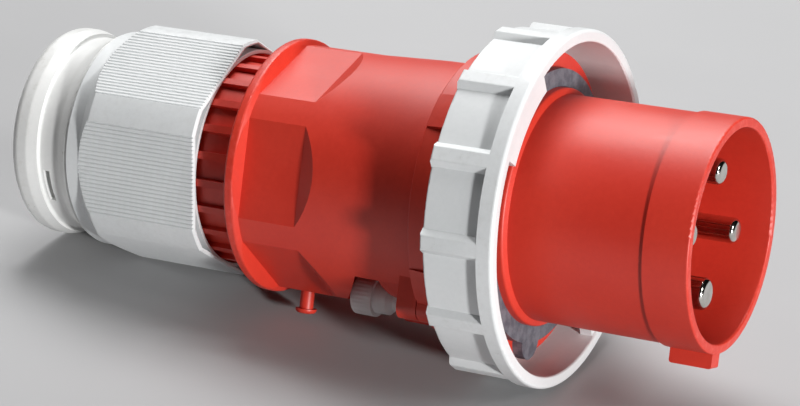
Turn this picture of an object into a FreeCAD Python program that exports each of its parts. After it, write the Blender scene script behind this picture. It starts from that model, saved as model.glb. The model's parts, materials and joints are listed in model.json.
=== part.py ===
import FreeCAD, Part
import math
import os

# Four-pole pin and sleeve plug with a bayonet ring and a screwed cable gland.
# The plug is modelled along +X, from the shroud's rim at x = 0 back to the cable end, with +Z up
# and the key at 6 o'clock. Clock angles are degrees from up (12 o'clock) towards +Y.
# At the end the finished pieces are turned round and laid down as the plug comes to rest.

# Clearances
running_gap = 0.3  # between faces of pieces that turn or slide on each other
fit_gap = 0.1  # radial, between pieces that are pushed together and stay

# Shroud
shroud_d = 70.8
shroud_wall = 2.4
rim_round = 0.65
band_step = 0.7  # the front band stands this much proud of the shroud
band_length = 14.5
contact_depth = 56.0  # rim to the face that the pins stand on
floor_thickness = 6.0
bead_height = 1.9
bead_length = 3.4
bead_step = 0.5  # radial, from the bead down to the gasket's seat
edge_round = 0.5  # on the outer edges where the halves meet and at the neck's end
gasket_seat = 65.2  # rim to the front of the flange

# Key under the shroud
key_width = 6.0
key_height = 4.5
key_setback = 0.7
key_chamfer = 0.9

# Flange, ring seat and spigot of the front body
flange_inset = 4.2  # radial, between the flange and the ring's bore
flange_thickness = 8.4
seat_d = 90.8
seat_length = 13.4
core_wall = 2.6
core_depth = 17.0
spigot_d = 68.0
spigot_length = 14.0
chamber_d = 60.0

# Snap lugs that keep the ring on its seat, and the blocks that stop its turn
snap_height = 1.4
snap_length = 8.5
snap_span = 15.0
snap_clock = 54.0  # from the vertical, four places
snap_play = 1.2
stop_height = 1.9
stop_span = 10.0
ring_turn = 45.0

# Gasket on the flange
gasket_thickness = 3.4
gasket_d = 86.0
gasket_tongue_r = 6.0
gasket_tongue_drop = 42.3

# Bayonet ring
ring_d = 112.2
ring_wall = 3.9
ring_front = 53.5
ring_length = 23.9
ring_edge = 1.2
ring_band = 5.2
ring_panel_depth = 2.1
ring_rib_count = 13
ring_rib_clock = 18.8
ring_rib_top = 4.4
ring_rib_slope = 1.5
ring_rib_round = 0.8
ring_web = 3.2
lug_clock = 54.5
lug_span = 35.0
lug_height = 6.9
lug_thickness = 4.2
lug_setback = 1.0
lug_lead = 3.0  # degrees of slope on the lug's rear face

# Contacts
pin_circle_d = 37.3
pin_setback = 5.6
phase_pin_d = 8.0
earth_pin_d = 10.0
pin_root_step = 0.2  # radial, where the pin fills its hole in the floor
tip_round = 1.7
pin_collar = 2.2
pin_collar_length = 3.0
terminal_d = 13.0
terminal_length = 38.0
wire_bore_d = 8.4
wire_bore_depth = 21.0
screw_d = 5.0
screw_length = 6.6
screw_key = 2.5
screw_pitch = 8.0
screw_inset = 6.5

# Carrier that holds the contacts, with its two long screws
carrier_front_length = 22.0
tower_wall = 2.6
tower_web = 7.0
carrier_screw_d = 4.0
carrier_screw_head_d = 7.2
carrier_screw_head = 2.8
carrier_screw_circle_d = 50.0
carrier_screw_bite = 4.4

# Seal between the two body halves
seal_cord_d = 2.0
seal_groove_width = 2.8
seal_setback = 7.0

# Rear housing
barrel_front_d = 81.0
barrel_d = 80.6
waist_d = 78.6
waist_at = 124.0
grip_front = 123.8  # where the slopes to the flats leave the round barrel
grip_slope = 6.1
grip_flat = 72.0  # across the flats
grip_rear = 150.0
grip_lean = 1.1  # along the axis, where the flats rise to the collar
grip_clock = 30.0
collar_front = 151.0
collar_length = 3.2
collar_d = 82.2
collar_round = 1.0
housing_wall = 4.0
barrel_bore_d = 72.8
grip_bore_d = 63.0
neck_end = 205.0
neck_root_d = 65.2
neck_rib_d = 68.4
neck_rib_count = 24
neck_rib_width = 2.4
neck_rib_clock = 12.2
neck_rib_end = 172.0
thread_d = 63.0
gland_bore_d = 53.0
seal_seat = 169.0
seal_ledge = 3.0
seal_ledge_d = 46.0

# Foot under the joint of the halves
foot_width = 63.0
foot_drop = 38.8  # below the axis
foot_round = 4.5
foot_rear = 94.0

# Bracket under the housing, the relief round it and the lanyard stud
bracket_width = 14.0
bracket_drop = 42.3
bracket_rear = 104.0
bracket_round = 3.0
relief_drop = 28.5
relief_skin = 2.2  # over the spigot, under the shallow part
relief_nose = 10.0  # width of the rear wall's straight middle
relief_slant = 0.6  # how far the rear wall runs forward for each unit sideways
relief_floor = 2.6
stud_at = 141.5
stud_drop = 46.6
stud_neck_d = 4.5
stud_head_d = 6.9
stud_head = 1.5
stud_head_round = 1.2

# Lock screw between the halves
lock_drop = 37.4
lock_head_d = 12.6
lock_head = 7.5
lock_head_edge = 0.9
lock_shoulder_d = 10.0
lock_shoulder = 4.6
lock_cone = 1.8
lock_shank_d = 6.6
lock_cone_setback = 3.3  # from the front of the relief's deep part
lock_head_room = 1.5  # behind the head
lock_thread_d = 5.0
insert_d = 8.4
insert_length = 12.2
insert_boss_d = 13.0

# Gland nut
nut_front = 168.0
nut_length = 48.6
nut_d = 77.8
nut_flat = 71.5
nut_clock = 42.5
nut_front_edge = 0.7
nut_front_wall = 1.1  # round the mouth and inside the flats, where the front face is cored out
nut_core_depth = 7.0
nut_shoulder = 207.8  # rim to where the full diameter ends
nut_shoulder_run = 3.9
nut_shoulder_d = 71.2
nut_shoulder_round = 1.6
groove_count = 23  # on each flat
groove_pitch = 1.35
groove_width = 0.6
groove_depth = 0.4
nut_wall_rear = 6.1
nut_opening_d = 64.2

# Bell mouth
bell_bore_d = 40.0
bell_length = 22.6  # outside, from the nut's rear to the end
bell_rim_d = 69.0
bell_rim_length = 10.2
bell_rim_step = 1.4  # radial, from the neck up to the rim's front edge
bell_rim_round = 3.6
bell_neck_d = 64.0
bell_neck_run = 5.5
bell_mouth_round = 1.2
bell_mouth_d = 61.0
bell_bead = 1.6
bell_bead_length = 2.8
bell_tube_reach = 7.7
bell_slot_clock = 122.5
bell_slot_span = 21.0
bell_slot_width = 2.3
bell_slot_at = 8.8

# Cable seal, its inner ring, thrust ring and clamp cage
cable_seal_length = 15.0
seal_inner_wall = 4.0
seal_insert_wall = 3.6
thrust_thickness = 2.0
cage_wall = 3.0
cage_ring = 3.4
cage_slot = 2.4
cage_fingers = 10
stack_gap = 0.2

# Places along the axis that follow from the sizes above
shroud_r = shroud_d / 2
band_r = shroud_r + band_step
shroud_bore_r = shroud_r - shroud_wall
bead_r = shroud_r + bead_height
bead_rear = gasket_seat - gasket_thickness
floor_rear = contact_depth + floor_thickness
flange_rear = gasket_seat + flange_thickness
seat_r = seat_d / 2
body_joint = flange_rear + seat_length
spigot_r = spigot_d / 2
spigot_end = body_joint + spigot_length
chamber_r = chamber_d / 2
ring_r = ring_d / 2
ring_bore_r = ring_r - ring_wall
flange_r = ring_bore_r - flange_inset
ring_rear = ring_front + ring_length
ring_panel_r = ring_r - ring_panel_depth
ring_web_front = flange_rear + running_gap
ring_web_rear = ring_web_front + ring_web
pin_circle_r = pin_circle_d / 2
terminal_r = terminal_d / 2
tower_r = terminal_r + fit_gap + tower_wall
carrier_front = floor_rear + stack_gap
carrier_step = carrier_front + carrier_front_length
terminal_front = carrier_front + pin_collar_length
carrier_rear = terminal_front + terminal_length
relief_step = carrier_rear + running_gap + relief_floor  # in front of this the relief is shallow
lock_cone_front = relief_step + lock_cone_setback
lock_head_front = lock_cone_front + lock_cone + lock_shoulder
lock_head_rear = lock_head_front + lock_head
relief_rear = lock_head_rear + lock_head_room
neck_root_r = neck_root_d / 2
neck_rib_r = neck_rib_d / 2
nut_r = nut_d / 2
nut_shoulder_r = nut_shoulder_d / 2
thread_r = thread_d / 2
gland_bore_r = gland_bore_d / 2
nut_rear = nut_front + nut_length
nut_wall_front = nut_rear - nut_wall_rear
bell_front = neck_end - bell_tube_reach
bell_shoulder = nut_rear + running_gap
bell_end = bell_shoulder + bell_length
thrust_front = seal_seat + cable_seal_length + stack_gap
cage_front = thrust_front + thrust_thickness + stack_gap

axis = FreeCAD.Vector(1, 0, 0)
origin = FreeCAD.Vector(0, 0, 0)


def outward(clock, radius=1.0, x=0.0):
    """Point at a clock angle and distance from the plug's axis."""
    turn = math.radians(clock)
    return FreeCAD.Vector(x, radius * math.sin(turn), radius * math.cos(turn))


def at_clock(shape, clock):
    """Copy of a shape built at 12 o'clock, swung round the plug's axis to a clock angle."""
    return shape.rotated(origin, axis, -clock)


def outline(corners):
    """Closed wire in the x-z plane. A corner is (x, r), or (x, r, rounding) for a tangent arc."""
    points = [FreeCAD.Vector(corner[0], 0, corner[1]) for corner in corners]
    starts = []
    ends = []
    middles = []
    for index, corner in enumerate(corners):
        here = points[index]
        rounding = corner[2] if len(corner) > 2 else 0.0
        back = (points[index - 1] - here).normalize()
        ahead = (points[(index + 1) % len(points)] - here).normalize()
        half = back.getAngle(ahead) / 2
        reach = rounding / math.tan(half)
        starts.append(here + back * reach)
        ends.append(here + ahead * reach)
        inward = (back + ahead).normalize() if rounding else back
        middles.append(here + inward * (rounding / math.sin(half) - rounding))
    edges = []
    for index in range(len(corners)):
        if len(corners[index]) > 2:
            edges.append(Part.Arc(starts[index], middles[index], ends[index]).toShape())
        following = starts[(index + 1) % len(corners)]
        if ends[index].distanceToPoint(following) > 1e-6:
            edges.append(Part.LineSegment(ends[index], following).toShape())
    return Part.Wire(edges)


def turned(corners, span=360.0, clock=0.0):
    """Solid swept by an outline round the plug's axis, over a span centred on a clock angle."""
    face = Part.Face(outline(corners))
    solid = face.revolve(origin, axis, span)
    return solid.rotated(origin, axis, -clock - span / 2) if span < 360.0 else solid


def bar(corners, width):
    """Straight piece of the outline's section, its width centred on the plug's upright plane."""
    face = Part.Face(outline(corners))
    face.translate(FreeCAD.Vector(0, -width / 2, 0))
    return face.extrude(FreeCAD.Vector(0, width, 0))


def rod(front, rear, diameter, drop=0.0):
    """Cylinder along the axis, its centre a given distance below the plug's axis."""
    start = FreeCAD.Vector(front, 0, -drop)
    return Part.makeCylinder(diameter / 2, rear - front, start, axis)


def sleeve(front, rear, outer_d, inner_d):
    return rod(front, rear, outer_d).cut(rod(front - 1, rear + 1, inner_d))


def joined(shapes):
    """One solid from overlapping shapes."""
    body = shapes[0].fuse(shapes[1:]) if len(shapes) > 1 else shapes[0]
    return body.removeSplitter()


# Contacts: four turned pins on one circle, each with a bored terminal behind its collar
phase_clocks = [0.0, 90.0, 270.0]
earth_clock = 180.0
pin_clocks = phase_clocks + [earth_clock]


def contact_pin(diameter, clock):
    r = diameter / 2
    wire_r = wire_bore_d / 2
    bore_front = carrier_rear - wire_bore_depth
    pin = turned([
        (pin_setback, 0.0),
        (pin_setback, r, tip_round),
        (contact_depth - running_gap, r),
        (contact_depth - running_gap, r + pin_root_step),
        (carrier_front, r + pin_root_step),
        (carrier_front, r + pin_collar),
        (terminal_front, r + pin_collar),
        (terminal_front, terminal_r),
        (carrier_rear, terminal_r),
        (carrier_rear, wire_r),
        (bore_front, wire_r),
        (bore_front, 0.0),
    ])
    for place in screw_places:
        thread = Part.makeCylinder(screw_d / 2, terminal_r + 1, outward(0, 0, place), outward(0))
        pin = pin.cut(at_clock(thread, clock))
    pin.translate(outward(clock, pin_circle_r))
    return pin


screw_places = [carrier_rear - screw_inset, carrier_rear - screw_inset - screw_pitch]


def terminal_screw(place, clock):
    """Grub screw with a hexagon socket, driven in towards the plug's axis."""
    bottom = pin_circle_r + wire_bore_d / 2 - fit_gap
    body = Part.makeCylinder(screw_d / 2 - fit_gap, screw_length, outward(0, bottom, place), outward(0))
    socket_top = bottom + screw_length
    corners = [outward(60 * turn, screw_key / math.sqrt(3)) for turn in range(7)]
    ring = [FreeCAD.Vector(place + point.y, point.z, socket_top) for point in corners]
    socket = Part.Face(Part.makePolygon(ring)).extrude(FreeCAD.Vector(0, 0, -screw_key))
    return at_clock(body.cut(socket), clock)


# Front body: shroud, contact floor, flange, ring seat and spigot in one moulding
def front_body():
    core_r = seat_r - core_wall
    core_inner_r = spigot_r + core_wall
    body = turned([
        (contact_depth, 0.0),
        (contact_depth, shroud_bore_r),
        (0.0, shroud_bore_r, rim_round),
        (0.0, band_r, rim_round),
        (band_length, band_r),
        (band_length, shroud_r),
        (bead_rear - bead_length, shroud_r),
        (bead_rear - bead_length + bead_height / 2, bead_r, bead_height / 2),
        (bead_rear, bead_r),
        (bead_rear, bead_r - bead_step),
        (gasket_seat, bead_r - bead_step),
        (gasket_seat, flange_r),
        (flange_rear, flange_r),
        (flange_rear, seat_r),
        (body_joint, seat_r, edge_round),
        (body_joint, core_r),
        (body_joint - core_depth, core_r),
        (body_joint - core_depth, core_inner_r),
        (body_joint, core_inner_r),
        (body_joint, spigot_r),
        (spigot_end, spigot_r),
        (spigot_end, chamber_r),
        (floor_rear, chamber_r),
        (floor_rear, 0.0),
    ])
    groove_front = body_joint + seal_setback
    groove = sleeve(groove_front, groove_front + seal_groove_width, spigot_d + 2, spigot_d - 2 * seal_cord_d)
    key_bottom = -(band_r + key_height)
    key = bar([
        (key_setback, -shroud_r + shroud_wall / 2),
        (key_setback, key_bottom, key_chamfer),
        (band_length, key_bottom, key_chamfer),
        (band_length, -shroud_r + shroud_wall / 2),
    ], key_width)
    boss = rod(body_joint - core_depth - 1, body_joint, insert_boss_d, lock_drop)
    boss = boss.common(sleeve(gasket_seat, body_joint, 2 * core_r + 1, chamber_d + 1))
    foot_front = ring_web_rear + snap_play
    ears = foot(foot_front, body_joint).cut(rod(foot_front - 1, body_joint + 1, 2 * core_r))
    body = joined([body, key, boss, ears] + snap_lugs() + turn_stops())
    body = body.cut(groove)
    pocket_front = body_joint - insert_length - stack_gap
    body = body.cut(rod(pocket_front, body_joint, insert_d + 2 * fit_gap, lock_drop))
    for clock in phase_clocks:
        body = body.cut(pin_hole(phase_pin_d, clock))
    body = body.cut(pin_hole(earth_pin_d, earth_clock))
    for clock in carrier_screw_clocks:
        hole = rod(floor_rear - carrier_screw_bite - 1, floor_rear, carrier_screw_d)
        hole.translate(outward(clock, carrier_screw_circle_d / 2))
        body = body.cut(hole)
    return body


def foot(front, rear):
    """Block under the axis with upright sides and rounded lower edges, up to inside the barrel."""
    half = foot_width / 2
    section = Part.Face(outline([
        (-half, -spigot_r / 2),
        (half, -spigot_r / 2),
        (half, -foot_drop, foot_round),
        (-half, -foot_drop, foot_round),
    ]))
    section.rotate(origin, FreeCAD.Vector(0, 0, 1), 90)
    section.translate(axis * front)
    return section.extrude(axis * (rear - front))


def pin_hole(diameter, clock):
    hole = rod(contact_depth - 1, floor_rear + 1, diameter + 2 * (pin_root_step + fit_gap))
    hole.translate(outward(clock, pin_circle_r))
    return hole


def snap_lugs():
    front = ring_web_rear + snap_play
    section = [
        (front, seat_r - 1),
        (front, seat_r + snap_height),
        (front + snap_length, seat_r + snap_height / 4),
        (front + snap_length, seat_r - 1),
    ]
    clocks = [snap_clock, 180 - snap_clock, 180 + snap_clock, 360 - snap_clock]
    return [turned(section, snap_span, clock) for clock in clocks]


stop_clocks = [90.0, 270.0]


def turn_stops():
    """Two blocks behind the flange that run in the ring's arc pockets."""
    section = [
        (flange_rear - 1, seat_r - 1),
        (flange_rear - 1, seat_r + stop_height),
        (ring_web_rear, seat_r + stop_height),
        (ring_web_rear, seat_r - 1),
    ]
    return [turned(section, stop_span, clock) for clock in stop_clocks]


# Contact carrier: an insulating block pushed in behind the contact floor
carrier_screw_clocks = [45.0, 225.0]


def contact_carrier():
    block = rod(carrier_front, carrier_step, chamber_d - 2 * fit_gap)
    towers = []
    for clock in pin_clocks:
        tower = rod(carrier_step - 1, carrier_rear, 2 * tower_r)
        tower.translate(outward(clock, pin_circle_r))
        towers.append(tower)
    spokes = []
    for clock in [0.0, 90.0]:
        spoke = Part.makeBox(carrier_rear - carrier_step + 1, tower_web, pin_circle_d)
        spoke.translate(FreeCAD.Vector(carrier_step - 1, -tower_web / 2, -pin_circle_r))
        spokes.append(at_clock(spoke, clock))
    carrier = joined([block] + towers + spokes)
    for clock in pin_clocks:
        collar_d = (earth_pin_d if clock == earth_clock else phase_pin_d) + 2 * pin_collar
        collar_pocket = rod(carrier_front - 1, terminal_front, collar_d + 2 * fit_gap)
        terminal_pocket = rod(terminal_front - 0.5, carrier_rear + 1, terminal_d + 2 * fit_gap)
        for pocket in [collar_pocket, terminal_pocket]:
            pocket.translate(outward(clock, pin_circle_r))
            carrier = carrier.cut(pocket)
        for place in screw_places:
            start = outward(0, pin_circle_r, place)
            window = Part.makeCylinder(screw_d / 2 + fit_gap, chamber_r, start, outward(0))
            carrier = carrier.cut(at_clock(window, clock))
    for clock in carrier_screw_clocks:
        hole = rod(carrier_front - 1, carrier_step + 1, carrier_screw_d + 2 * fit_gap)
        hole.translate(outward(clock, carrier_screw_circle_d / 2))
        carrier = carrier.cut(hole)
    return carrier


def carrier_screw(clock):
    """Cheese-head screw from the carrier's rear face into the contact floor."""
    head_r = carrier_screw_head_d / 2
    shank_r = carrier_screw_d / 2 - fit_gap / 2
    screw = turned([
        (floor_rear - carrier_screw_bite, 0.0),
        (floor_rear - carrier_screw_bite, shank_r),
        (carrier_step, shank_r),
        (carrier_step, head_r),
        (carrier_step + carrier_screw_head, head_r),
        (carrier_step + carrier_screw_head, 0.0),
    ])
    slot = Part.makeBox(carrier_screw_head, carrier_screw_head_d, screw_key / 2)
    slot.translate(FreeCAD.Vector(carrier_step + carrier_screw_head / 2, -head_r, -screw_key / 4))
    screw = screw.cut(slot)
    screw.translate(outward(clock, carrier_screw_circle_d / 2))
    return screw


def housing_seal():
    """Ring of round rubber cord in the spigot's groove."""
    centre_x = body_joint + seal_setback + seal_groove_width / 2
    centre_r = spigot_r - seal_cord_d + seal_cord_d / 2
    return Part.makeTorus(centre_r, seal_cord_d / 2, FreeCAD.Vector(centre_x, 0, 0), axis)


def face_gasket():
    """Flat rubber ring round the shroud's foot, with a tongue at the bottom."""
    front = gasket_seat - gasket_thickness
    pad = rod(front, gasket_seat, gasket_d)
    tongue = rod(front, gasket_seat, 2 * gasket_tongue_r, gasket_tongue_drop)
    gasket = joined([pad, tongue])
    return gasket.cut(rod(front - 1, gasket_seat + 1, 2 * (bead_r - bead_step + fit_gap)))


# Bayonet ring: band, ribs, rear web that turns behind the flange, and two inner lugs
def bayonet_ring():
    shell = turned([
        (ring_front, ring_bore_r, ring_edge / 2),
        (ring_front, ring_r, ring_edge),
        (ring_front + ring_band, ring_r),
        (ring_front + ring_band + ring_panel_depth / 2, ring_panel_r),
        (ring_rear, ring_panel_r, ring_edge / 2),
        (ring_rear, ring_bore_r),
        (ring_web_rear, ring_bore_r),
        (ring_web_rear, seat_r + running_gap),
        (ring_web_front, seat_r + running_gap),
        (ring_web_front, ring_bore_r),
    ])
    rib = ring_rib()
    ribs = [at_clock(rib, ring_rib_clock + 360 * n / ring_rib_count) for n in range(ring_rib_count)]
    ring = joined([shell] + ribs + [bayonet_lug(lug_clock), bayonet_lug(lug_clock + 180)])
    pocket_section = [
        (ring_web_front - 1, seat_r),
        (ring_web_front - 1, seat_r + stop_height + running_gap),
        (ring_web_rear + 1, seat_r + stop_height + running_gap),
        (ring_web_rear + 1, seat_r),
    ]
    end_gap = math.degrees(running_gap / seat_r)
    pocket_span = stop_span + ring_turn + 2 * end_gap
    for clock in stop_clocks:
        pocket_clock = clock - ring_turn / 2
        ring = ring.cut(turned(pocket_section, pocket_span, pocket_clock))
    return ring


ring_rib_half = ring_rib_top / 2
ring_rib_crown = math.sqrt(ring_r**2 - ring_rib_half**2)


def ring_rib():
    """Rib from the front band to the rear edge, at 12 o'clock, its flanks sloped and its edges rounded."""
    foot = ring_panel_r - 1
    half_foot = ring_rib_half + ring_rib_slope * (ring_rib_crown - foot) / ring_panel_depth
    section = Part.Face(outline([
        (-half_foot, foot),
        (-ring_rib_half, ring_rib_crown, ring_rib_round),
        (ring_rib_half, ring_rib_crown, ring_rib_round),
        (half_foot, foot),
    ]))
    section.rotate(origin, FreeCAD.Vector(0, 0, 1), 90)
    front = ring_front + ring_band / 2
    section.translate(axis * front)
    envelope = turned([
        (front - 1, 0.0),
        (front - 1, ring_r + 1),
        (ring_rear - ring_rib_round, ring_r + 1),
        (ring_rear - ring_rib_round, ring_r),
        (ring_rear, ring_r, ring_rib_round),
        (ring_rear, 0.0),
    ])
    return section.extrude(axis * (ring_rear + 1 - front)).common(envelope)


def bayonet_lug(clock):
    """Lug on the ring's inner wall, its rear face sloped to draw the ring up as it turns."""
    front = ring_front + lug_setback
    rear = front + lug_thickness
    inner_r = ring_bore_r - lug_height
    lug = turned([
        (front, inner_r, ring_edge / 2),
        (front, ring_bore_r + 1),
        (rear, ring_bore_r + 1),
        (rear, inner_r),
    ], lug_span, 0.0)
    slab = Part.makeBox(lug_thickness, ring_d, ring_d)
    slab.translate(FreeCAD.Vector(rear - lug_thickness / 4, -ring_r, 0))
    slab.rotate(FreeCAD.Vector(rear, 0, 0), FreeCAD.Vector(0, 0, 1), lug_lead)
    return at_clock(lug.cut(slab), clock)


# Rear housing: barrel, hexagon grip, collar, ribbed neck and gland thread in one moulding
def rear_housing():
    front = body_joint + running_gap
    barrel_r = barrel_d / 2
    waist_r = waist_d / 2
    collar_r = collar_d / 2
    grip_bore_r = grip_bore_d / 2
    joint_bore_r = spigot_r + fit_gap
    collar_rear = collar_front + collar_length
    outer = [
        (front, barrel_front_d / 2, edge_round),
        (front + spigot_length, barrel_r),
        (waist_at, waist_r),
        (collar_front - collar_round, waist_r),
        (collar_front, collar_r, collar_round),
        (collar_rear, collar_r, collar_round),
        (collar_rear, neck_root_r),
        (neck_rib_end, neck_root_r),
        (neck_rib_end, thread_r),
        (neck_end, thread_r, edge_round),
    ]
    envelope = turned([(front, 0.0)] + outer + [(neck_end, 0.0)])
    inner = turned([
        (front - 1, 0.0),
        (front - 1, joint_bore_r),
        (relief_step - relief_floor, joint_bore_r),
        (relief_step, barrel_bore_d / 2),
        (waist_at - housing_wall, barrel_bore_d / 2),
        (waist_at + housing_wall, grip_bore_r),
        (neck_start_bore(), grip_bore_r),
        (seal_seat - seal_ledge, seal_ledge_d / 2),
        (seal_seat, seal_ledge_d / 2),
        (seal_seat, gland_bore_r),
        (neck_end + 1, gland_bore_r),
        (neck_end + 1, 0.0),
    ])
    lining = relief_block(relief_step, relief_floor).common(envelope)
    shell = joined([envelope.cut(inner), foot(front, foot_rear), lining])
    shell = shell.cut(relief())
    for turn in range(6):
        shell = shell.cut(at_clock(grip_cutter(), grip_clock + 60 * turn))
    shell = joined([shell, bracket(), lanyard_stud()] + neck_ribs(collar_rear))
    shell = shell.cut(rod(front - 1, spigot_end + running_gap, 2 * joint_bore_r))
    shell = shell.cut(rod(bracket_rear, relief_step + 1, lock_shank_d + 2 * running_gap, lock_drop))
    return shell.cut(rod(front - 1, bracket_rear + 1, lock_thread_d + 2 * running_gap, lock_drop))


def neck_start_bore():
    """Where the wide bore under the grip starts to close in to the seal's ledge."""
    return seal_seat - seal_ledge - (grip_bore_d - seal_ledge_d) / 4


def grip_cutter():
    """Bar that cuts one flat at 12 o'clock, sloped in front and nearly upright at the collar."""
    apothem = grip_flat / 2
    slope_rise = waist_d / 2 - apothem
    rear_rise = collar_d / 2 - apothem
    return bar([
        (grip_front - grip_slope, apothem + 2 * slope_rise),
        (grip_front + grip_slope, apothem),
        (grip_rear, apothem),
        (grip_rear + 2 * grip_lean, apothem + 2 * rear_rise),
    ], barrel_d)


def bracket():
    """Lug under the barrel's front end that the lock screw passes through."""
    front = body_joint + running_gap
    return bar([
        (front, -spigot_r),
        (front, -bracket_drop),
        (bracket_rear, -bracket_drop, bracket_round),
        (bracket_rear, -spigot_r),
    ], bracket_width)


def relief():
    """Hollow across the barrel's underside: shallow beside the bracket, deep round the screw's head."""
    hollow = relief_block(foot_rear, 0.0)
    skin_d = spigot_d + 2 * (fit_gap + relief_skin)
    return hollow.cut(rod(foot_rear - 1, relief_step, skin_d))


def relief_block(front, margin):
    """Block below the relief's ceiling, its rear wall drawn back in the middle, grown by a margin."""
    reach = barrel_d / 2
    nose = relief_nose / 2 + margin * relief_slant
    rear = relief_rear + margin
    side_rear = rear - (reach - nose) * relief_slant
    top = margin - relief_drop
    plan = [
        FreeCAD.Vector(front - margin, -reach, top),
        FreeCAD.Vector(side_rear, -reach, top),
        FreeCAD.Vector(rear, -nose, top),
        FreeCAD.Vector(rear, nose, top),
        FreeCAD.Vector(side_rear, reach, top),
        FreeCAD.Vector(front - margin, reach, top),
    ]
    return Part.Face(Part.makePolygon(plan + plan[:1])).extrude(FreeCAD.Vector(0, 0, -reach))


def lanyard_stud():
    """Mushroom-headed stud under the grip for a cap's lanyard."""
    root = grip_bore_d / 2 + housing_wall / 2
    neck_side = stud_at + stud_neck_d / 2
    head_side = stud_at + stud_head_d / 2
    profile = Part.Face(outline([
        (stud_at, -root),
        (neck_side, -root),
        (neck_side, stud_head - stud_drop),
        (head_side, stud_head - stud_drop),
        (head_side, -stud_drop, stud_head_round),
        (stud_at, -stud_drop),
    ]))
    return profile.revolve(FreeCAD.Vector(stud_at, 0, 0), FreeCAD.Vector(0, 0, 1), 360)


def neck_ribs(front):
    section_height = neck_rib_r - neck_root_r + 1
    rib = Part.makeBox(neck_rib_end - front + 1, neck_rib_width, section_height)
    rib.translate(FreeCAD.Vector(front - 1, -neck_rib_width / 2, neck_root_r - 1))
    return [at_clock(rib, neck_rib_clock + 360 * n / neck_rib_count) for n in range(neck_rib_count)]


# Lock screw and the brass insert that it bites into
def lock_screw():
    shank_front = bracket_rear + stack_gap
    thread_end = body_joint - insert_length + stack_gap
    screw = turned([
        (thread_end, 0.0),
        (thread_end, lock_thread_d / 2),
        (shank_front, lock_thread_d / 2),
        (shank_front, lock_shank_d / 2),
        (lock_cone_front, lock_shank_d / 2),
        (lock_cone_front + lock_cone, lock_shoulder_d / 2),
        (lock_head_front, lock_shoulder_d / 2),
        (lock_head_front, lock_head_d / 2),
        (lock_head_rear, lock_head_d / 2, lock_head_edge),
        (lock_head_rear, 0.0),
    ])
    screw.translate(FreeCAD.Vector(0, 0, -lock_drop))
    return screw


def lock_insert():
    front = body_joint - insert_length
    insert = sleeve(front, body_joint, insert_d, lock_thread_d + 2 * fit_gap)
    insert.translate(FreeCAD.Vector(0, 0, -lock_drop))
    return insert


# Gland nut: round body with six grooved flats, cored out in front, its rear wall holding the bell mouth
def gland_nut():
    mouth_r = neck_rib_r + running_gap
    thread_room_r = thread_r + running_gap
    opening_r = nut_opening_d / 2
    bead_room_r = opening_r + bell_bead + running_gap
    nut = turned([
        (nut_front, mouth_r),
        (nut_front, nut_r - nut_front_edge),
        (nut_front + nut_front_edge, nut_r),
        (nut_shoulder, nut_r, nut_shoulder_round),
        (nut_shoulder + nut_shoulder_run, nut_shoulder_r),
        (nut_rear, nut_shoulder_r, nut_front_edge / 2),
        (nut_rear, opening_r),
        (nut_wall_front, opening_r),
        (nut_wall_front, bead_room_r),
        (neck_end, bead_room_r),
        (neck_end + thread_room_r - bead_room_r, thread_room_r),
        (neck_rib_end + running_gap, thread_room_r),
        (neck_rib_end + running_gap, mouth_r),
    ])
    flat = flat_cutter()
    for turn in range(6):
        nut = nut.cut(at_clock(flat, nut_clock + 60 * turn))
    return nut.cut(nut_core(mouth_r))


def flat_cutter():
    """Bar over one flat at 12 o'clock, with a tooth under it for each groove and a sloped front end."""
    flat_r = nut_flat / 2
    top = nut_r + 1
    corners = [(-nut_r, top), (-nut_r, flat_r)]
    for number in range(groove_count):
        middle = (number - (groove_count - 1) / 2) * groove_pitch
        corners += [
            (middle - groove_width / 2, flat_r),
            (middle, flat_r - groove_depth),
            (middle + groove_width / 2, flat_r),
        ]
    corners += [(nut_r, flat_r), (nut_r, top)]
    front = nut_front - 1
    rear = nut_shoulder + nut_shoulder_run
    ring = [FreeCAD.Vector(front, y, z) for y, z in corners]
    grooved = Part.Face(Part.makePolygon(ring + ring[:1])).extrude(axis * (rear - front))
    slope = bar([
        (front, flat_r - nut_front_edge - 1),
        (nut_front + nut_front_edge, flat_r),
        (nut_front + nut_front_edge, top),
        (front, top),
    ], nut_d)
    return grooved.fuse(slope)


def nut_core(mouth_r):
    """Six crescent hollows in the nut's front face, one behind each corner."""
    length = nut_core_depth + 1
    inside_flats = (nut_flat / 2 - nut_front_wall) / math.cos(math.radians(30))
    ring = [outward(nut_clock + 30 + 60 * turn, inside_flats, nut_front - 1) for turn in range(6)]
    prism = Part.Face(Part.makePolygon(ring + ring[:1])).extrude(axis * length)
    outer = rod(nut_front - 1, nut_front + nut_core_depth, nut_d - 2 * nut_front_wall)
    inner = rod(nut_front - 2, nut_front + nut_core_depth + 1, 2 * (mouth_r + nut_front_wall))
    return prism.common(outer).cut(inner)


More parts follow.
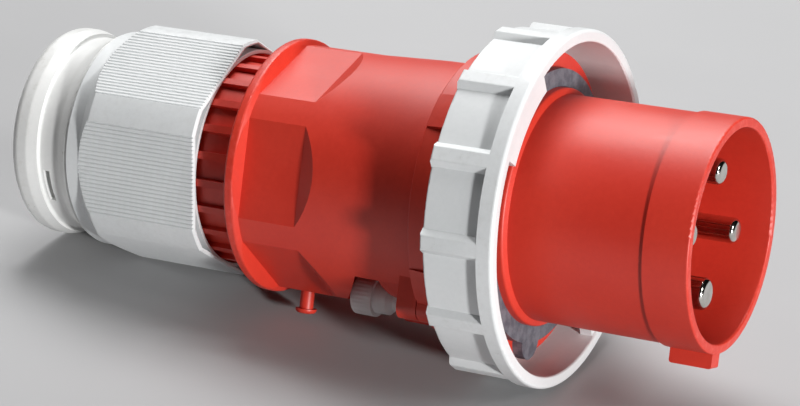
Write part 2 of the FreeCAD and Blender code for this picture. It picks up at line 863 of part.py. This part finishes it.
# Bell mouth: trumpet that snaps into the nut's rear wall and presses on the gland's rings
def bell_mouth():
    tube_r = gland_bore_r - running_gap
    groove_r = nut_opening_d / 2 - running_gap
    bead_rear_x = nut_wall_front - running_gap
    bead_front_x = bead_rear_x - bell_bead_length
    bore_r = bell_bore_d / 2
    rim_r = bell_rim_d / 2
    rim_front = bell_end - bell_rim_length
    neck_r = bell_neck_d / 2
    throat = bell_shoulder + bell_neck_run
    bell = turned([
        (bell_front, bore_r),
        (bell_front, tube_r),
        (bead_front_x, tube_r),
        (bead_front_x, groove_r),
        (bead_front_x + bell_bead_length / 2, groove_r + bell_bead),
        (bead_rear_x, groove_r + bell_bead),
        (bead_rear_x, groove_r),
        (bell_shoulder, groove_r),
        (bell_shoulder, nut_shoulder_r, nut_front_edge),
        (throat, neck_r, bell_neck_run),
        (rim_front, neck_r, bell_rim_step / 2),
        (rim_front, neck_r + bell_rim_step),
        (rim_front + bell_rim_round, rim_r, bell_rim_round),
        (bell_end, rim_r, bell_rim_round),
        (bell_end, bell_mouth_d / 2, bell_mouth_round),
        (throat, bore_r, 2 * bell_neck_run),
    ])
    slot_x = bell_shoulder + bell_slot_at
    slot_section = [
        (slot_x, bore_r - 1),
        (slot_x, rim_r),
        (slot_x + bell_slot_width, rim_r),
        (slot_x + bell_slot_width, bore_r - 1),
    ]
    for clock in [bell_slot_clock, bell_slot_clock + 180]:
        bell = bell.cut(turned(slot_section, bell_slot_span, clock))
    return bell


# Rings in the gland: soft seal with its inner ring, thrust ring and clamp cage
def cable_seal():
    outer_d = gland_bore_d - 2 * fit_gap
    return sleeve(seal_seat, seal_seat + cable_seal_length, outer_d, outer_d - 2 * seal_inner_wall)


def seal_insert():
    outer_d = gland_bore_d - 4 * fit_gap - 2 * seal_inner_wall
    return sleeve(seal_seat, seal_seat + cable_seal_length, outer_d, outer_d - 2 * seal_insert_wall)


def thrust_ring():
    return sleeve(thrust_front, thrust_front + thrust_thickness, gland_bore_d - 2 * fit_gap, bell_bore_d)


def clamp_cage():
    """Ring of springy fingers that close on the cable when the bell mouth drives them in."""
    outer_r = gland_bore_r - fit_gap
    rear = bell_front - stack_gap
    cage = turned([
        (cage_front, outer_r - cage_wall),
        (cage_front, outer_r),
        (rear - cage_wall / 2, outer_r),
        (rear, outer_r - cage_wall / 2),
        (rear, outer_r - cage_wall),
    ])
    slot = Part.makeBox(rear - cage_front, cage_slot, outer_r + 1)
    slot.translate(FreeCAD.Vector(cage_front + cage_ring, -cage_slot / 2, 0))
    for finger in range(cage_fingers):
        cage = cage.cut(at_clock(slot, 360 * finger / cage_fingers))
    return cage


# Resting place: two ribs of the ring straddle the lowest line and the nut's shoulder touches behind
rib_pitch = 360 / ring_rib_count
lowest_rib = 6
rest_clock = ring_rib_clock + rib_pitch * (lowest_rib + 0.5)
rib_side = math.radians(rib_pitch / 2)
flank_angle = math.atan2(ring_panel_depth, ring_rib_slope)
rib_edge_y = ring_rib_half - ring_rib_round * math.tan(flank_angle / 2)
rib_edge_z = ring_rib_crown - ring_rib_round
ring_edge_drop = rib_edge_y * math.sin(rib_side) + rib_edge_z * math.cos(rib_side)
shoulder_angle = math.atan2(nut_r - nut_shoulder_r, nut_shoulder_run)
nut_edge_x = nut_shoulder - nut_shoulder_round * math.tan(shoulder_angle / 2)
touch_run = nut_edge_x - (ring_rear - ring_rib_round)
touch_rise = ring_edge_drop - (nut_r - nut_shoulder_round)
touch_lead = math.asin((nut_shoulder_round - ring_rib_round) / math.hypot(touch_run, touch_rise))
rest_tilt = math.degrees(math.atan2(touch_rise, touch_run) - touch_lead)

parts = {
    "front_body": front_body(),
    "contact_carrier": contact_carrier(),
    "carrier_screws": Part.makeCompound([carrier_screw(clock) for clock in carrier_screw_clocks]),
    "earth_pin": contact_pin(earth_pin_d, earth_clock),
    "terminal_screws": Part.makeCompound(
        [terminal_screw(place, clock) for clock in pin_clocks for place in screw_places]
    ),
    "housing_seal": housing_seal(),
    "face_gasket": face_gasket(),
    "bayonet_ring": bayonet_ring(),
    "rear_housing": rear_housing(),
    "lock_screw": lock_screw(),
    "lock_insert": lock_insert(),
    "gland_nut": gland_nut(),
    "bell_mouth": bell_mouth(),
    "cable_seal": cable_seal(),
    "seal_insert": seal_insert(),
    "thrust_ring": thrust_ring(),
    "clamp_cage": clamp_cage(),
}
for number, clock in enumerate(phase_clocks, 1):
    parts[f"phase_pin_{number}"] = contact_pin(phase_pin_d, clock)

# Lay the plug down: roll it on to its two ribs, turn its nose to +X and lower its tail
roll = FreeCAD.Rotation(axis, rest_clock - 180)
about_face = FreeCAD.Rotation(FreeCAD.Vector(0, 0, 1), 180)
tail_down = FreeCAD.Rotation(FreeCAD.Vector(0, 1, 0), -rest_tilt)
turn = tail_down.multiply(about_face).multiply(roll)
lying = FreeCAD.Placement(origin, turn)
for shape in parts.values():
    shape.transformShape(lying.toMatrix(), True)
box = Part.makeCompound(list(parts.values())).optimalBoundingBox(False)
shift = FreeCAD.Vector(-box.Center.x, -box.Center.y, -box.ZMin)
lying.Base = shift

os.makedirs("parts", exist_ok=True)
for name, shape in parts.items():
    shape.translate(shift)
    shape.exportStep(f"parts/{name}.step")
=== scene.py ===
import json

import bmesh
import bpy
import numpy as np
from mathutils import Matrix, Vector


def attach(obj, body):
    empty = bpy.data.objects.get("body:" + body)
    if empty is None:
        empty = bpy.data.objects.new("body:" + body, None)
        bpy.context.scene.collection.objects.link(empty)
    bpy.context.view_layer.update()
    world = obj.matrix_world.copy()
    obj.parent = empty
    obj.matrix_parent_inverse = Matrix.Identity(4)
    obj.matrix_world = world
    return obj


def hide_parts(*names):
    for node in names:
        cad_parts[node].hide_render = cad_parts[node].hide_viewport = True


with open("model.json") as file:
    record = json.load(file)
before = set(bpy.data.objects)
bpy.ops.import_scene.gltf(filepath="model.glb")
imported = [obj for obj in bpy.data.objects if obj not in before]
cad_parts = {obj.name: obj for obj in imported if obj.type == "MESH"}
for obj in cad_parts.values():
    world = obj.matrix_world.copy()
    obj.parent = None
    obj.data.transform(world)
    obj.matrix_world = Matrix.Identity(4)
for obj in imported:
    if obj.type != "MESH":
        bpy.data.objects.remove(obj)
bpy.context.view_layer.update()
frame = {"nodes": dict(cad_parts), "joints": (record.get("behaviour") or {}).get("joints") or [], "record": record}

# Front body: the round shroud with its key, the thick flange and the stub behind it, one
# injection moulding in signal-red polyamide with a satin, spark-eroded skin. Everything else is
# fixed to it, so the plug's own axis, on which each finish is laid out, is read here.
earth = next(mount for mount in frame["record"]["mounts"] if mount["name"] == "earth_contact")
turning = next(joint for joint in frame["joints"] if joint["name"] == "ring_turn")
mm_per_metre = 1000
earth_middle = 0.0308  # metres from the shroud's rim back to the middle of the earth pin
nose = Vector(turning["axis"])
tail = -nose
earth_place = Vector(earth["pos_m"])
axis_foot = Vector(turning["pos_m"]) + nose * (earth_place - Vector(turning["pos_m"])).dot(nose)
rim = axis_foot + nose * earth_middle
upward = (axis_foot - earth_place).normalized()
sideways = upward.cross(tail)


class Value:
    """A quantity that differs from point to point of a finish and can stand in a formula."""

    def __init__(self, finish, socket):
        self.finish = finish
        self.socket = socket

    def __add__(self, other):
        return self.finish.maths("ADD", self, other)

    def __sub__(self, other):
        return self.finish.maths("SUBTRACT", self, other)

    def __mul__(self, other):
        return self.finish.maths("MULTIPLY", self, other)

    def __pow__(self, other):
        return self.finish.maths("POWER", self, other)

    def __rsub__(self, other):
        return self.finish.maths("SUBTRACT", other, self)

    def __rpow__(self, other):
        return self.finish.maths("POWER", other, self)

    __radd__ = __add__
    __rmul__ = __mul__


class Finish:
    """A Principled material, with the plug's own measures in millimetres and its patterns."""

    def __init__(self, name, **constants):
        self.material = bpy.data.materials.new(name)
        self.material.use_nodes = True
        self.tree = self.material.node_tree
        self.shader = self.tree.nodes["Principled BSDF"]
        for socket, value in constants.items():
            self.shader.inputs[self.socket_name(socket)].default_value = value
        self.place = self.node("TexCoord", output="Object")
        self.along = self.measure(tail)
        self.across = self.measure(sideways)
        self.height = self.measure(upward)
        self.radius = (self.across * self.across + self.height * self.height) ** 0.5

    def socket_name(self, word):
        """The shader's name for a socket that the script writes as, say, base_color."""
        return word.replace("_", " ").title().replace("Ior", "IOR")

    def node(self, kind, settings=None, inputs=None, output=0):
        """One node: its settings are set first, then each input gets its link or its constant."""
        made = self.tree.nodes.new("ShaderNode" + kind)
        for key, value in (settings or {}).items():
            setattr(made, key, value)
        for key, value in (inputs or {}).items():
            if isinstance(value, Value):
                self.tree.links.new(value.socket, made.inputs[key])
            else:
                made.inputs[key].default_value = value
        return Value(self, made.outputs[output])

    def maths(self, operation, *terms):
        """One step of a formula, worked out at each point."""
        return self.node("Math", {"operation": operation}, dict(enumerate(terms)))

    def measure(self, direction):
        """Distance from the middle of the shroud's rim along a direction, in millimetres.

        It is the point's dot product with the direction, less the rim's, times a thousand.
        """
        inputs = {0: self.place, 1: direction}
        dot = self.node("VectorMath", {"operation": "DOT_PRODUCT"}, inputs, "Value")
        return (dot - rim.dot(direction)) * mm_per_metre

    def noise(self, size, detail=2.0, roughness=0.5, stretch=(1, 1, 1)):
        """Noise from 0 to 1 with lumps about size millimetres across, drawn out by stretch."""
        scale = [mm_per_metre / size / longer for longer in stretch]
        where = self.node("Mapping", None, {"Vector": self.place, "Scale": scale})
        inputs = {"Vector": where, "Scale": 1.0, "Detail": detail, "Roughness": roughness}
        return self.node("TexNoise", None, inputs, "Fac")

    def ramp(self, value, low, high):
        """Smooth step: 0 as far as low and 1 from high on, whichever of the two is larger."""
        inputs = {"Value": value, "From Min": low, "From Max": high}
        return self.node("MapRange", {"interpolation_type": "SMOOTHSTEP"}, inputs)

    def blend(self, share, first, second):
        """Colour between two colours: first where share is 0, second where it is 1."""
        return self.node("Mix", {"data_type": "RGBA"}, {0: share, 6: first, 7: second}, 2)

    def relief(self, *layers):
        """Bumps over each other, each a height from 0 to 1 and its full depth in millimetres."""
        normal = None
        for height, depth in layers:
            inputs = {"Height": height, "Distance": depth / mm_per_metre, "Strength": 1.0}
            if normal is not None:
                inputs["Normal"] = normal
            normal = self.node("Bump", None, inputs)
        return normal

    def lead(self, **values):
        """Feeds what varies over the surface to the shader, and returns the material."""
        for socket, value in values.items():
            self.tree.links.new(value.socket, self.shader.inputs[self.socket_name(socket)])
        return self.material


def creased(mesh, crease=28.0, flat_crease=12.0, flat_area=12.0):
    """Marks edges sharp where two faces meet at more than crease degrees.

    Beside a flat of more than flat_area square millimetres the limit is flat_crease degrees.
    Faces lie in one flat where their normals, times direction_steps, round to the same numbers,
    and so do their distances from the origin, times distance_steps. That distance is the dot
    product of a face's centre and its normal.
    """
    direction_steps = 500
    distance_steps = 50000  # to a metre
    normals = np.empty((len(mesh.polygons), 3))
    mesh.polygons.foreach_get("normal", normals.ravel())
    centres = np.empty_like(normals)
    mesh.polygons.foreach_get("center", centres.ravel())
    areas = np.empty(len(mesh.polygons))
    mesh.polygons.foreach_get("area", areas)
    distances = (normals * centres).sum(1)
    planes = np.column_stack([normals * direction_steps, distances * distance_steps]).round()
    flats = np.unique(planes, axis=0, return_inverse=True)[1].ravel()
    flat_areas = np.bincount(flats, areas)[flats] * mm_per_metre**2
    edges = np.empty(len(mesh.loops), dtype=np.int32)
    mesh.loops.foreach_get("edge_index", edges)
    sides = np.empty(len(mesh.polygons), dtype=np.int32)
    mesh.polygons.foreach_get("loop_total", sides)
    faces = np.repeat(np.arange(len(sides)), sides)
    order = np.argsort(edges, kind="stable")
    pairs = np.flatnonzero(edges[order][1:] == edges[order][:-1])
    one, other = faces[order][pairs], faces[order][pairs + 1]
    angle = np.degrees(np.arccos(np.clip((normals[one] * normals[other]).sum(1), -1, 1)))
    beside_flat = np.maximum(flat_areas[one], flat_areas[other]) > flat_area
    sharp = np.zeros(len(mesh.edges), dtype=bool)
    sharp[edges[order][pairs]] = (angle > crease) | ((angle > flat_crease) & beside_flat)
    mesh.edges.foreach_set("use_edge_sharp", sharp)


def moulding(name, node, body, finish):
    """Closed smooth copy of a CAD node, its doubles merged and its edges creased."""
    merge_within = 3e-6  # metres
    sliver_below = 1e-6
    mesh = frame["nodes"][node].data.copy()
    mesh.name = name
    shape = bmesh.new()
    shape.from_mesh(mesh)
    bmesh.ops.remove_doubles(shape, verts=shape.verts, dist=merge_within)
    bmesh.ops.dissolve_degenerate(shape, edges=shape.edges, dist=sliver_below)
    shape.to_mesh(mesh)
    shape.free()
    mesh.shade_smooth()
    creased(mesh)
    mesh.materials.clear()
    mesh.materials.append(finish)
    piece = bpy.data.objects.new(name, mesh)
    bpy.context.scene.collection.objects.link(piece)
    weighting = piece.modifiers.new("even_shading", "WEIGHTED_NORMAL")
    weighting.keep_sharp = True
    weighting.weight = 80
    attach(piece, body)
    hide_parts(node)


def moulded(name, deep, pale, roughness, grain=0.35, depth=0.012, **constants):
    """Moulded plastic, its eroded skin in lumps of grain and depth millimetres, with pores.

    The colour goes from deep to pale by a smooth step over the sum of a slow drift and a fine
    mottle, each times its share. To the roughness are added the mottle and the skin, each less
    a half and times its swing, and the patches rubbed lengthwise are taken off it, times polish.
    """
    drift_share = 0.7
    mottle_share = 0.3
    mottle_swing = 0.10
    skin_swing = 0.06
    polish = 0.06
    pore_size = grain * 3.2
    pore_depth = depth * 1.2
    finish = Finish(name, **constants)
    drift = finish.noise(size=38, detail=3.0)
    mottle = finish.noise(size=1.6, detail=4.0, roughness=0.6)
    patches = finish.noise(size=14, detail=4.0, roughness=0.65, stretch=(3, 1, 1))
    rubbed = finish.ramp(patches, low=0.52, high=0.72)
    skin = finish.noise(grain, detail=2.0, roughness=0.6)
    pores = finish.noise(pore_size, detail=3.0)
    share = finish.ramp(drift * drift_share + mottle * mottle_share, low=0.3, high=0.7)
    colour = finish.blend(share, deep, pale)
    uneven = (mottle - 0.5) * mottle_swing
    scatter = roughness + uneven + (skin - 0.5) * skin_swing - rubbed * polish
    return finish, colour, scatter, [(skin, depth), (pores, pore_depth)]


red_deep = (0.60, 0.031, 0.016, 1)
red_pale = (0.69, 0.044, 0.022, 1)
# Painted highlight: a lighter, pinker red, laid in noise patches on the shroud's rim and on the collar's outer
# edge where those edges catch the light.
red_highlight_colour = (0.74, 0.075, 0.055, 1)
highlight_share = 0.6
highlight_polish = 0.10
rim_edge = (1.3, 0.2)  # millimetres behind the rim, from no painted highlight to full painted highlight
collar_edge = (40.5, 41.1)  # millimetres from the plug's axis, on the rear housing's collar
collar_reach = (150.0, 150.8)  # millimetres behind the rim
red, red_colour, red_scatter, red_layers = moulded(
    "red_polyamide", red_deep, red_pale, roughness=0.46, specular_ior_level=0.6
)
# Where the painted highlight falls: noise patches within 1.3 mm of the rim and on the collar's outermost edge.
highlight_patches = red.ramp(red.noise(size=2.6, detail=5.0, roughness=0.7), low=0.46, high=0.66)
rim_highlight = red.ramp(red.along, *rim_edge) * highlight_patches
collar_highlight = red.ramp(red.radius, *collar_edge) * highlight_patches * red.ramp(red.along, *collar_reach)
red_highlight = red.maths("MAXIMUM", rim_highlight, collar_highlight)
# The painted highlight is mixed into the red colour, and the roughness is lowered under it too.
red_plastic = red.lead(
    base_color=red.blend(red_highlight * highlight_share, red_colour, red_highlight_colour),
    roughness=red_scatter - red_highlight * highlight_polish,
    normal=red.relief(*red_layers),
)
moulding("front_body_moulding", "front_body", "housing", red_plastic)

# Contacts: four turned brass pins, nickel plated, the earth pin thicker than the three line
# pins. They pass through the shroud's floor and end in clamp terminals inside.
nickel_bright = (0.72, 0.70, 0.66, 1)
nickel_dull = (0.58, 0.56, 0.52, 1)
line_stretch = (0.3, 60, 60)  # close together along the pin, long round it
line_depth = 0.003
nickel = Finish("bright_nickel", metallic=1.0)
turned_lines = nickel.noise(size=0.16, detail=2.0, roughness=0.6, stretch=line_stretch)
haze = nickel.noise(size=5, detail=4.0, roughness=0.6)
nickel_plate = nickel.lead(
    base_color=nickel.blend(nickel.ramp(haze, low=0.35, high=0.7), nickel_bright, nickel_dull),
    roughness=0.09 + haze * 0.10,
    normal=nickel.relief((turned_lines, line_depth)),
)
for pin in ["earth_pin", "phase_pin_1", "phase_pin_2", "phase_pin_3"]:
    moulding(pin + "_turned", pin, "housing", nickel_plate)

# Contact carrier: the block of four towers that holds the terminals, moulded in grey
# polyamide and screwed to the front body from inside with two long screws.
carrier_deep = (0.16, 0.17, 0.18, 1)
carrier_pale = (0.20, 0.21, 0.22, 1)
carrier, carrier_colour, carrier_scatter, carrier_layers = moulded(
    "carrier_polyamide", carrier_deep, carrier_pale, roughness=0.5
)
carrier_plastic = carrier.lead(
    base_color=carrier_colour,
    roughness=carrier_scatter,
    normal=carrier.relief(*carrier_layers),
)
moulding("contact_carrier_block", "contact_carrier", "housing", carrier_plastic)

# Screws: the carrier's two long screws and the eight grub screws of the terminals, which have
# hexagon sockets, turned in steel and zinc plated, which leaves a bluish haze.
zinc_bright = (0.60, 0.62, 0.66, 1)
zinc_dull = (0.48, 0.50, 0.52, 1)


def hazed_metal(name, bright, dull, haze_size, smoothest, swing, grain_depth):
    """Metal whose colour goes from bright to dull with one noise, the haze.

    Its roughness is smoothest plus the haze times swing, and a finer noise gives its grain.
    """
    finish = Finish(name, metallic=1.0)
    metal_haze = finish.noise(haze_size, detail=3.0)
    grain = finish.noise(size=0.2)
    return finish.lead(
        base_color=finish.blend(metal_haze, bright, dull),
        roughness=smoothest + metal_haze * swing,
        normal=finish.relief((grain, grain_depth)),
    )


zinc_plate = hazed_metal(
    "zinc_plated_steel", zinc_bright, zinc_dull,
    haze_size=0.8, smoothest=0.28, swing=0.2, grain_depth=0.004,
)
for screws in ["carrier_screws", "terminal_screws"]:
    moulding(screws + "_plated", screws, "housing", zinc_plate)

# Seal between the body halves, and the gasket round the shroud's foot: nitrile rubber, the
# gasket moulded dark grey with a dusty bloom and a tongue at the key.
gasket_dark = (0.085, 0.085, 0.105, 1)
gasket_dusty = (0.165, 0.165, 0.19, 1)
speck_depth = 0.03
cloud_depth = 0.05
gasket = Finish("gasket_rubber")
cloud = gasket.noise(size=3.4, detail=5.0, roughness=0.68)
speck = gasket.noise(size=0.5, detail=2.0)
gasket_rubber = gasket.lead(
    base_color=gasket.blend(gasket.ramp(cloud, low=0.34, high=0.66), gasket_dark, gasket_dusty),
    roughness=0.58 + (cloud - 0.5) * 0.2,
    normal=gasket.relief((speck, speck_depth), (cloud, cloud_depth)),
)
moulding("face_gasket_rubber", "face_gasket", "housing", gasket_rubber)
black_deep = (0.020, 0.020, 0.021, 1)
black_dusty = (0.045, 0.045, 0.047, 1)
black_depth = 0.02
black = Finish("black_rubber")
black_cloud = black.noise(size=2.2, detail=4.0)
black_grain = black.noise(size=0.4)
black_rubber = black.lead(
    base_color=black.blend(black_cloud, black_deep, black_dusty),
    roughness=0.5 + black_cloud * 0.2,
    normal=black.relief((black_grain, black_depth)),
)
moulding("housing_seal_ring", "housing_seal", "housing", black_rubber)

# Bayonet ring: thirteen rounded ribs on a light grey polyamide ring that turns on the front
# body, with two lugs inside that draw the mating collar in.
grey_deep = (0.72, 0.74, 0.745, 1)
grey_pale = (0.79, 0.805, 0.81, 1)
grey_worn = (0.60, 0.60, 0.59, 1)
fine_grain = 0.3


def handled_plastic(name, deep, pale, worn, roughness, depth, edge, patch, share, polish):
    """Moulded plastic that hands have rubbed where it stands out furthest.

    The rub is a smooth step over the radii of edge times one over a noise, where patch holds the
    noise's size and the second step's limits. The worn colour is mixed in by the rub times share,
    and the rub times polish is taken off the roughness.
    """
    finish, colour, scatter, layers = moulded(name, deep, pale, roughness, fine_grain, depth)
    size, low, high = patch
    patches = finish.noise(size, detail=5.0, roughness=0.7)
    rub = finish.ramp(finish.radius, *edge) * finish.ramp(patches, low, high)
    return finish.lead(
        base_color=finish.blend(rub * share, colour, worn),
        roughness=scatter - rub * polish,
        normal=finish.relief(*layers),
    )


ring_plastic = handled_plastic(
    "ring_polyamide", grey_deep, grey_pale, grey_worn, roughness=0.42, depth=0.010,
    edge=(55.3, 56.0), patch=(3.0, 0.48, 0.68), share=0.22, polish=0.14,
)
moulding("bayonet_ring_moulding", "bayonet_ring", "ring", ring_plastic)

# Rear housing: the barrel with its six sunk grip flats, the collar, the ribbed neck, the foot
# under the joint, the bracket and relief round the lock screw and the lanyard stud, one moulding
# in the front body's red.
moulding("rear_housing_moulding", "rear_housing", "housing", red_plastic)

# Lock screw: a thumbscrew of near-white polyamide with faint ridges along its head, screwed in
# lengthwise between the halves, where it stops them turning, and the brass insert that takes it.
screw_drop = 37.4  # its own axis, below the plug's
head_front = 115.8
head_rear = 123.3
head_rim = 5.9  # radius inside which the head's ends are plain
rim_fade = 0.2
ridge_start = 0.6  # from either end of the head
ridge_full = 1.2
ridge_count = 30
ridge_depth = 0.07
screw_deep = (0.80, 0.815, 0.82, 1)
screw_pale = (0.86, 0.87, 0.875, 1)
screw, screw_colour, screw_scatter, screw_layers = moulded(
    "screw_polyamide", screw_deep, screw_pale, roughness=0.42, grain=fine_grain, depth=0.010
)
below = screw.height + screw_drop
round_screw = screw.maths("ARCTAN2", screw.across, below)
ridges = screw.maths("SINE", round_screw * ridge_count) * 0.5 + 0.5
front_fade = screw.ramp(screw.along, head_front + ridge_start, head_front + ridge_full)
rear_fade = screw.ramp(screw.along, head_rear - ridge_start, head_rear - ridge_full)
screw_radius = (screw.across * screw.across + below * below) ** 0.5
on_side = screw.ramp(screw_radius, head_rim, head_rim + rim_fade)
screw_layers.append((ridges * (front_fade * rear_fade) * on_side, ridge_depth))
screw_plastic = screw.lead(
    base_color=screw_colour,
    roughness=screw_scatter,
    normal=screw.relief(*screw_layers),
)
moulding("lock_screw_moulding", "lock_screw", "housing", screw_plastic)
brass_bright = (0.72, 0.52, 0.24, 1)
brass_dull = (0.60, 0.42, 0.18, 1)
plain_brass = hazed_metal(
    "plain_brass", brass_bright, brass_dull,
    haze_size=0.9, smoothest=0.25, swing=0.15, grain_depth=0.003,
)
moulding("lock_insert_turned", "lock_insert", "housing", plain_brass)

# Gland nut: light grey polyamide with six finely grooved flats, screwed on the rear housing's
# neck, where it squeezes the cable seal and carries the bell mouth with it.
nut_plastic = handled_plastic(
    "nut_polyamide", grey_deep, grey_pale, grey_worn, roughness=0.44, depth=0.010,
    edge=(37.8, 38.8), patch=(2.4, 0.46, 0.66), share=0.18, polish=0.14,
)
moulding("gland_nut_moulding", "gland_nut", "nut", nut_plastic)

# Bell mouth: a whiter trumpet of polyamide that snaps into the nut's rear wall and keeps the
# cable from kinking, its rim gone slightly warm in tone where it is handled.
bell_deep = (0.78, 0.785, 0.775, 1)
bell_pale = (0.84, 0.84, 0.825, 1)
bell_worn = (0.66, 0.645, 0.60, 1)
bell_plastic = handled_plastic(
    "bell_polyamide", bell_deep, bell_pale, bell_worn, roughness=0.40, depth=0.008,
    edge=(34.0, 34.5), patch=(3.0, 0.48, 0.68), share=0.3, polish=0.12,
)
moulding("bell_mouth_moulding", "bell_mouth", "bell", bell_plastic)

# Cable seal with its inner ring, both soft rubber, and the thrust ring and clamp cage of
# polyamide: the stack inside the neck that the nut squeezes to grip the cable.
moulding("cable_seal_ring", "cable_seal", "housing", black_rubber)
moulding("seal_insert_ring", "seal_insert", "housing", black_rubber)
moulding("thrust_ring_washer", "thrust_ring", "housing", bell_plastic)
moulding("clamp_cage_fingers", "clamp_cage", "housing", bell_plastic)

# Floor: a plain pale sheet of matt paper, on which the plug lies. It is a square grid of cells,
# x and y from minus to plus half its size and z nought.
floor_size = 6.0  # metres
cells = 64
paper_grey = (0.43, 0.43, 0.435, 1)
paper_pale = (0.45, 0.45, 0.455, 1)
steps = np.linspace(-floor_size / 2, floor_size / 2, cells + 1)
floor_x, floor_y = np.meshgrid(steps, steps, indexing="ij")
surface = np.stack([floor_x, floor_y, np.zeros_like(floor_x)], -1).reshape(-1, 3)
first = np.arange(cells)[:, None] * (cells + 1) + np.arange(cells)[None, :]
quads = np.stack([first, first + cells + 1, first + cells + 2, first + 1], -1).reshape(-1, 4)
floor_mesh = bpy.data.meshes.new("floor")
floor_mesh.from_pydata(surface.tolist(), [], quads.tolist())
floor = bpy.data.objects.new("floor", floor_mesh)
bpy.context.scene.collection.objects.link(floor)
paper = Finish("pale_paper", roughness=0.9, specular_ior_level=0.1)
paper_tone = paper.blend(paper.noise(size=60), paper_grey, paper_pale)
floor_mesh.materials.append(paper.lead(base_color=paper_tone))

# Camera: long lens at the photograph's angle, above and in front of the nose's side. On axes
# that run right, down and forward from the lens, the three vectors below are the plug's axis
# towards the cable, its downward side and, in millimetres, the middle of the shroud's rim.
lens = 132.6
sensor_width = 36.0
camera_axis = Vector((-0.88440558, -0.14593827, 0.44331569))
camera_down = Vector((-0.11876448, 0.98895893, 0.08862981))
camera_rim = Vector((100.2, 10.0, 884.7))
camera_up = -(camera_down - camera_axis * camera_down.dot(camera_axis)).normalized()
camera_side = camera_up.cross(camera_axis)
camera_to_plug = Matrix((camera_axis, camera_side, camera_up))
camera_to_frame = Matrix((tail, sideways, upward)).transposed() @ camera_to_plug
right, down, forward = camera_to_frame.transposed()
camera_place = rim - camera_to_frame @ camera_rim / mm_per_metre
camera_turn = Matrix((right, -down, -forward)).transposed()
camera_data = bpy.data.cameras.new("camera")
camera_data.lens = lens
camera_data.sensor_width = sensor_width
camera_data.clip_start = 0.05  # metres
camera = bpy.data.objects.new("camera", camera_data)
camera.matrix_world = Matrix.Translation(camera_place) @ camera_turn.to_4x4()
bpy.context.scene.collection.objects.link(camera)
bpy.context.scene.camera = camera

# Light: two large soft boxes above and behind for the bright upper sides, a key from the nose's
# side that throws the ring's shadow on the barrel, a weak high fill and a trace of even sky,
# shown with no film curve.
sky_strength = 0.004
middle_along = 120  # millimetres behind the rim
middle = rim + tail * middle_along / mm_per_metre
skyward = Vector((0, 0, 1))
ahead = Vector((forward.x, forward.y, 0)).normalized()
bpy.context.scene.view_settings.view_transform = "Standard"
world = bpy.data.worlds.new("studio")
bpy.context.scene.world = world
world.use_nodes = True
world.node_tree.nodes["Background"].inputs["Color"].default_value = (1.0, 1.0, 1.0, 1)
world.node_tree.nodes["Background"].inputs["Strength"].default_value = sky_strength


def aimed(place, aim):
    """Turn and place of a lamp that shines from place towards aim, with its top kept upwards."""
    back = (place - aim).normalized()
    lamp_right = skyward.cross(back).normalized()
    turn = Matrix((lamp_right, back.cross(lamp_right), back)).transposed()
    return Matrix.Translation(place) @ turn.to_4x4()


for name, metres, watts, offset in [
    ("top_box", 0.7, 16.5, skyward * 1.15 + ahead * 0.5),
    ("back_box", 0.8, 4.5, skyward * 0.8 + ahead * 0.9 - right * 0.2),
    ("key_box", 0.22, 46.0, right * 1.30 - ahead * 1.78 + skyward * 0.32),
    ("high_box", 0.3, 3.0, right * 0.85 - ahead * 0.7 + skyward * 0.7),
]:
    lamp_data = bpy.data.lights.new(name, "AREA")
    lamp_data.size = metres
    lamp_data.energy = watts
    lamp = bpy.data.objects.new(name, lamp_data)
    lamp.matrix_world = aimed(middle + offset, middle)
    bpy.context.scene.collection.objects.link(lamp)
